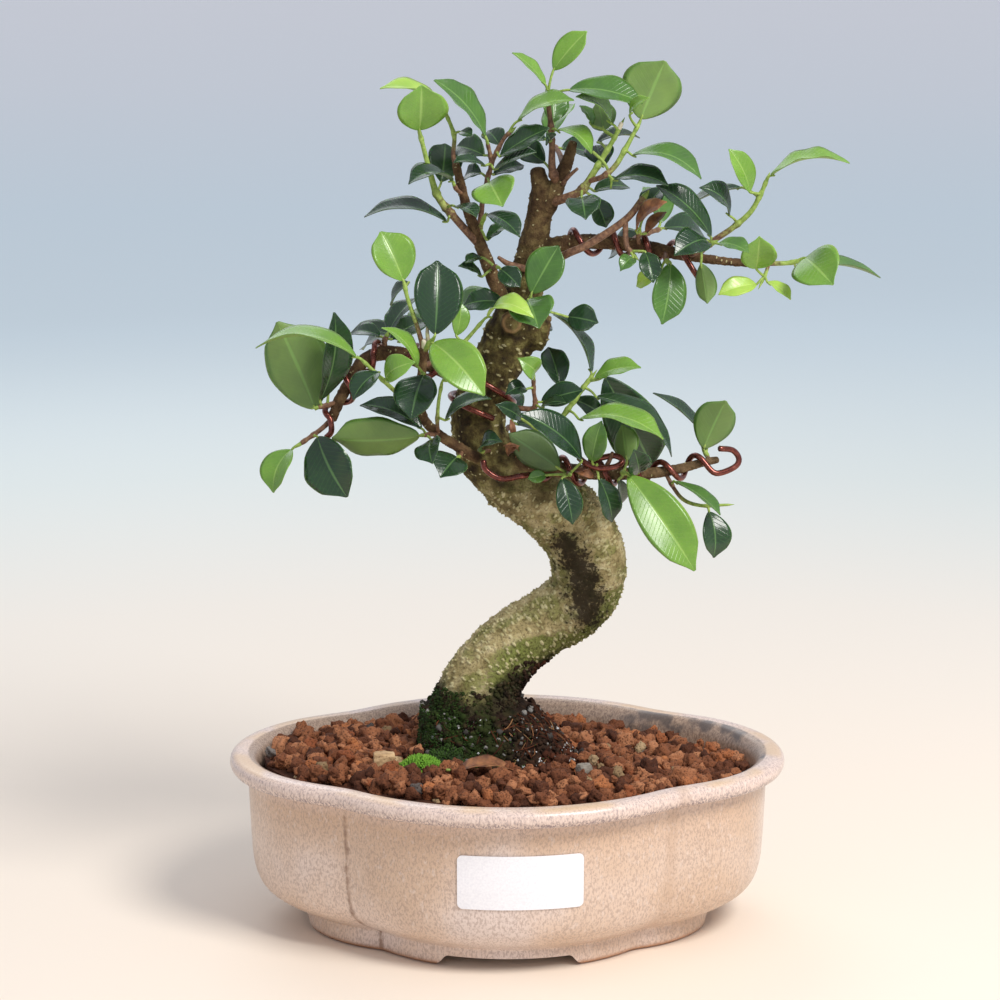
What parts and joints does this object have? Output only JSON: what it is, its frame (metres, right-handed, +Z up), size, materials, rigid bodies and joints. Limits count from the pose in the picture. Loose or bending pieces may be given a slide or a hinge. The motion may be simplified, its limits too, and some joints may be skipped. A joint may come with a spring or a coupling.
{
  "type": "bonsai tree in a pot",
  "caption": "Small indoor ficus bonsai with an S-curved trunk, wired branches and glossy leaves, standing in a low four-lobed glazed pot of clay granules.",
  "frame": {"origin": "middle of the whole plant's box, on the surface that the pot's feet stand on", "axes": "+Z up, +X to the viewer's right when the label faces the viewer, +Y to the back, away from the label"},
  "size_m": [0.2188, 0.15, 0.301],
  "materials": {
    "glaze": "satin",
    "plastic_mesh": "matte",
    "sticker": "satin",
    "granules": "matte",
    "root_soil": "matte",
    "moss": "matte",
    "pebble": "matte",
    "dry_leaf": "matte",
    "bark": "matte",
    "twig_bark": "matte",
    "wire": "gloss",
    "leaf_dark": "satin",
    "leaf_young": "satin"
  },
  "bodies": {
    "root": {"pot": "glaze", "drain_screen_left": "plastic_mesh", "drain_screen_right": "plastic_mesh", "label": "sticker", "soil": "granules", "root_ball": "root_soil", "moss_patch": "moss", "stone_left": "pebble", "stone_right": "pebble", "fallen_leaf": "dry_leaf", "trunk": "bark", "left_branch": "bark", "front_left_branch": "bark", "lower_right_branch": "bark", "upper_right_branch": "bark", "upper_left_branch": "bark", "apex_fork": "bark", "wire_left": "wire", "wire_lower_right": "wire", "wire_upper_right": "wire", "spray_left_tip": "leaf_dark", "spray_left_rise": "leaf_dark", "spray_left_shoot": "leaf_young", "spray_left_crown": "leaf_dark", "spray_front_left_low": "leaf_dark", "spray_front_left_under": "leaf_dark", "spray_trunk_notch": "leaf_dark", "spray_front_left_knee": "leaf_dark", "spray_front_left_riser": "leaf_young", "spray_bud": "leaf_young", "spray_bud_shoot": "leaf_young", "spray_green_shoot": "leaf_young", "spray_trunk_front": "leaf_dark", "spray_trunk_right": "leaf_dark", "spray_side_shoot": "leaf_young", "spray_lower_right_inner": "leaf_dark", "spray_lower_right_second": "leaf_dark", "spray_lower_right_third": "leaf_young", "spray_lower_right_hanging": "leaf_young", "spray_lower_right_end": "leaf_young", "spray_cut_twig": "twig_bark", "spray_upper_right_front": "leaf_dark", "spray_upper_right_rise": "leaf_young", "spray_upper_right_end": "leaf_young", "spray_upper_right_curl": "leaf_dark", "spray_upper_right_hanging": "leaf_dark", "spray_top_left_shoot": "leaf_young", "spray_top_left_fork": "leaf_young", "spray_upper_left_side": "leaf_dark", "spray_crown_left": "leaf_dark", "spray_upper_left_low": "leaf_dark", "spray_upper_left_inner": "leaf_young", "spray_centre_stem": "leaf_dark", "spray_apex_right": "leaf_young", "spray_apex_outer": "leaf_young", "spray_back_left": "leaf_dark", "spray_back_low": "leaf_dark", "spray_back_middle": "leaf_dark", "spray_back_right": "leaf_dark", "spray_back_top": "leaf_dark"}
  },
  "joints": []
}
